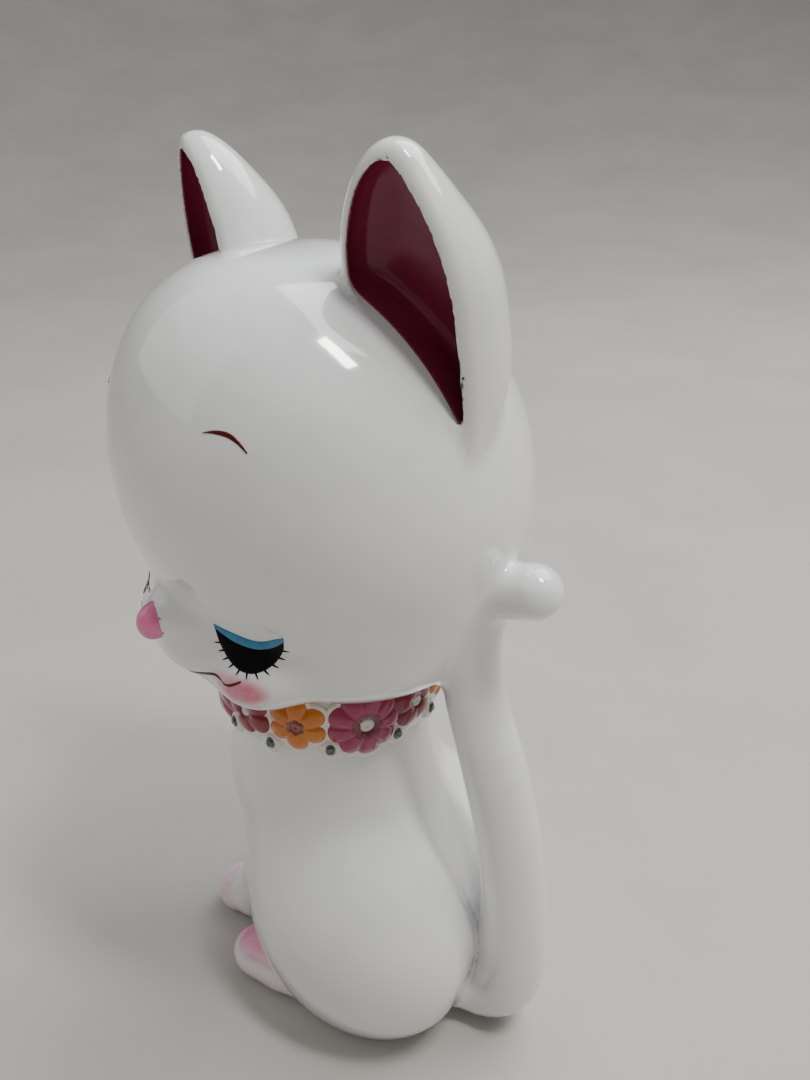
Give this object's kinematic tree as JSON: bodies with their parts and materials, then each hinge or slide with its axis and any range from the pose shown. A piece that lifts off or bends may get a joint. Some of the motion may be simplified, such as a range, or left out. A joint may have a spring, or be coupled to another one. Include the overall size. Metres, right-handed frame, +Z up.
{
  "type": "ceramic cat figurine",
  "caption": "Tall hollow seated cat in white glazed ceramic, head turned over its shoulder, eyes closed, flower garland at the neck and a tail that forms a loop handle.",
  "frame": {"origin": "centre of the bounding box on the plane that the figurine stands on", "axes": "+Z up, -X the way the body faces, +X the side of the tail, -Y the side that the face looks to, turned 16 degrees from it towards -X"},
  "size_m": [0.1293, 0.1101, 0.256],
  "materials": {
    "white_glaze": "high gloss clear glaze over white earthenware",
    "bare_ceramic": "unglazed, matt",
    "stopper_rubber": "matt",
    "pink_glaze": "gloss",
    "cream_glaze": "gloss",
    "blush_glaze": "airbrushed pink under gloss glaze",
    "ear_crimson": "gloss",
    "black_enamel": "brushed enamel, gloss",
    "blue_enamel": "brushed enamel, gloss",
    "red_enamel": "brushed enamel, gloss",
    "leaf_green": "gloss",
    "centre_brown": "gloss",
    "flower_crimson": "gloss",
    "flower_yellow": "gloss",
    "flower_pink": "gloss"
  },
  "bodies": {
    "figurine": {"body_shell": "white_glaze", "tail": "white_glaze", "head_shell": "white_glaze", "base_disc": "bare_ceramic", "nose": "pink_glaze", "collar_band": "cream_glaze", "left_hind_foot": "blush_glaze", "left_front_paw": "blush_glaze", "left_ear": "white_glaze", "left_ear_lining": "ear_crimson", "left_eyelid": "black_enamel", "left_lashes": "black_enamel", "left_eye_shadow": "blue_enamel", "left_brow": "red_enamel", "left_dimple": "red_enamel", "right_hind_foot": "blush_glaze", "right_front_paw": "blush_glaze", "right_ear": "white_glaze", "right_ear_lining": "ear_crimson", "right_eyelid": "black_enamel", "right_lashes": "black_enamel", "right_eye_shadow": "blue_enamel", "right_brow": "red_enamel", "right_dimple": "red_enamel", "mouth_line": "red_enamel", "collar_leaves": "leaf_green", "crimson_flower_centres": "white_glaze", "yellow_flower_centres": "centre_brown", "pink_flower_centres": "white_glaze", "crimson_flower_1": "flower_crimson", "crimson_flower_2": "flower_crimson", "crimson_flower_3": "flower_crimson", "crimson_flower_4": "flower_crimson", "yellow_flower_1": "flower_yellow", "yellow_flower_2": "flower_yellow", "yellow_flower_3": "flower_yellow", "yellow_flower_4": "flower_yellow", "pink_flower_1": "flower_pink", "pink_flower_2": "flower_pink", "pink_flower_3": "flower_pink", "pink_flower_4": "flower_pink"},
    "stopper": {"base_stopper": "stopper_rubber"}
  },
  "joints": [
    {"name": "stopper_pull", "type": "slide", "parent": "figurine", "child": "stopper", "axis": [0, 0, -1], "range_m": [0, 0.02]}
  ]
}
